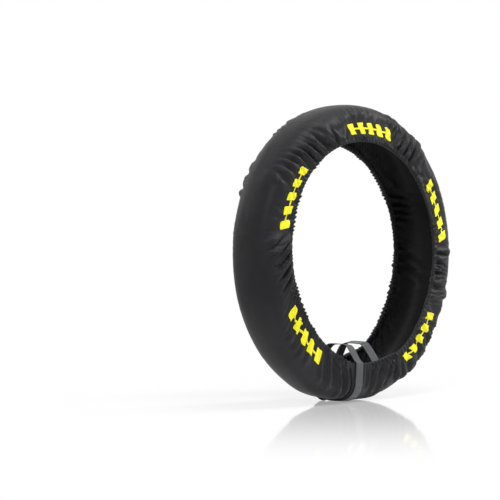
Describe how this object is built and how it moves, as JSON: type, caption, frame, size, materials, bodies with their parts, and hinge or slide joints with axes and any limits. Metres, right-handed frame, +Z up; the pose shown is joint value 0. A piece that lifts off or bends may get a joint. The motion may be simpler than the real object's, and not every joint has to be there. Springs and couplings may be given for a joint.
{
  "type": "motorcycle tire cover",
  "caption": "Gathered cloth cover for a rear motorcycle tyre, with elastic hems, bound ends, a closing strap and a rim strap.",
  "frame": {"origin": "centre of the wheel that the cover is worn on, halfway across the tyre", "axes": "+Y along the wheel's axle, towards the unprinted side; +Z up; the printed side faces -Y and the straps are at the bottom"},
  "size_m": [0.6898, 0.1392, 0.6934],
  "materials": {
    "black_cloth": "black coated woven polyester with a low sheen",
    "elastic_tape": "black ribbed flat elastic",
    "binding_tape": "black grosgrain binding tape",
    "webbing": "dark grey ribbed webbing",
    "hook_and_loop": "black hook-and-loop tape",
    "yellow_film": "bright yellow heat-pressed film"
  },
  "bodies": {
    "root": {"sleeve": "black_cloth", "front_elastic": "elastic_tape", "back_elastic": "elastic_tape", "right_end_binding": "binding_tape", "left_end_binding": "binding_tape", "closure_strap": "webbing", "closure_loop_patch": "hook_and_loop", "closure_hook_patch": "hook_and_loop", "rim_strap": "webbing", "rim_strap_tail": "webbing", "rim_loop_patch": "hook_and_loop", "rim_hook_patch": "hook_and_loop", "print_mark_1": "yellow_film", "print_mark_2": "yellow_film", "print_mark_3": "yellow_film", "print_mark_4": "yellow_film", "print_mark_5": "yellow_film"}
  },
  "joints": []
}
